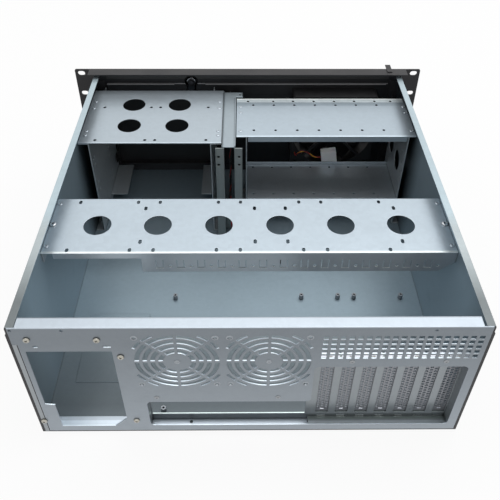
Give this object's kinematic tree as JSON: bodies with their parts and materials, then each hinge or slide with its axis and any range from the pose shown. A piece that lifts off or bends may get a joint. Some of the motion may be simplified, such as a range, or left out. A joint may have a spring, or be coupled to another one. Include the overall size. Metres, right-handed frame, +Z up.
{
  "type": "empty rackmount server case",
  "caption": "Open rackmount server case of folded steel sheet: drive cages, fan cross-member, card slots behind, and a black front panel with a lockable door and bow handles.",
  "frame": {"origin": "middle of the case's footprint, on the surface that it stands on", "axes": "+X across the width, to the right as seen from the front; +Y towards the rear panel; +Z up"},
  "size_m": [0.4826, 0.4762, 0.1782],
  "materials": {
    "sheet_steel": "zinc-plated sheet, satin",
    "cover_steel": "zinc-plated perforated sheet, satin",
    "black_paint": "fine black powder coat",
    "yellow_zinc": "pale yellow passivated",
    "bright_zinc": "bright plated",
    "handle_metal": "satin",
    "plated_lock": "bright plated",
    "black_plastic": "moulded, matt",
    "grey_button": "moulded, semi-gloss",
    "white_plastic": "moulded nylon",
    "green_board": "lacquered laminate",
    "clear_light": "clear moulded light pipe",
    "red_wire": "insulated wire"
  },
  "bodies": {
    "case": {"bay_cover_1": "black_plastic", "bay_cover_2": "black_plastic", "bay_cover_3": "black_plastic", "bay_ledge_left": "sheet_steel", "bay_ledge_right": "sheet_steel", "bay_side_left": "sheet_steel", "bay_side_right": "sheet_steel", "bay_top": "sheet_steel", "board_posts": "yellow_zinc", "bracket_ledge_left": "sheet_steel", "bracket_ledge_right": "sheet_steel", "bracket_screws": "bright_zinc", "centre_channel": "sheet_steel", "centre_post": "sheet_steel", "chassis_base": "sheet_steel", "control_board": "green_board", "cover_screws": "yellow_zinc", "drive_floor": "sheet_steel", "drive_side_left": "sheet_steel", "drive_side_right": "sheet_steel", "drive_top": "sheet_steel", "fan_bracket": "sheet_steel", "fan_frame": "black_plastic", "fan_lead": "red_wire", "fan_plug": "white_plastic", "fan_screws": "black_paint", "flange_screws": "black_paint", "front_panel": "black_paint", "handle_left": "handle_metal", "handle_right": "handle_metal", "handle_screws": "bright_zinc", "hinge_bottom": "black_paint", "hinge_top": "black_paint", "io_slot_tray": "sheet_steel", "panel_lead": "red_wire", "panel_plug": "black_plastic", "rear_panel": "sheet_steel", "rear_screws": "yellow_zinc", "rivets": "bright_zinc", "slot_cover_1": "cover_steel", "slot_cover_2": "cover_steel", "slot_cover_3": "cover_steel", "slot_cover_4": "cover_steel", "slot_cover_5": "cover_steel", "slot_cover_6": "cover_steel", "slot_cover_7": "cover_steel", "standoffs": "yellow_zinc", "status_lights": "clear_light", "switch_bodies": "black_plastic"},
    "door": {"front_door": "black_paint", "lock_body": "plated_lock", "lock_nut": "plated_lock"},
    "lock": {"lock_plug": "plated_lock", "lock_cam": "bright_zinc", "lock_screw": "bright_zinc"},
    "power": {"power_button": "grey_button"},
    "reset": {"reset_button": "grey_button"},
    "fan": {"fan_rotor": "black_plastic"}
  },
  "joints": [
    {"name": "door_hinge", "type": "hinge", "parent": "case", "child": "door", "pos_m": [-0.197, -0.2121, 0.088], "axis": [0, 0, 1], "range_deg": [-100, 0]},
    {"name": "lock_turn", "type": "hinge", "parent": "door", "child": "lock", "pos_m": [0.08, -0.2141, 0.158], "axis": [0, 1, 0], "range_deg": [0, 90]},
    {"name": "power_press", "type": "slide", "parent": "case", "child": "power", "axis": [0, 1, 0], "range_m": [0, 0.0022], "stiffness_N_per_m": 400, "springref_m": -0.001},
    {"name": "reset_press", "type": "slide", "parent": "case", "child": "reset", "axis": [0, 1, 0], "range_m": [0, 0.0022], "stiffness_N_per_m": 400, "springref_m": -0.001},
    {"name": "fan_spin", "type": "hinge", "parent": "case", "child": "fan", "pos_m": [-0.1234, -0.1921, 0.088], "axis": [0, 1, 0], "continuous": true}
  ]
}
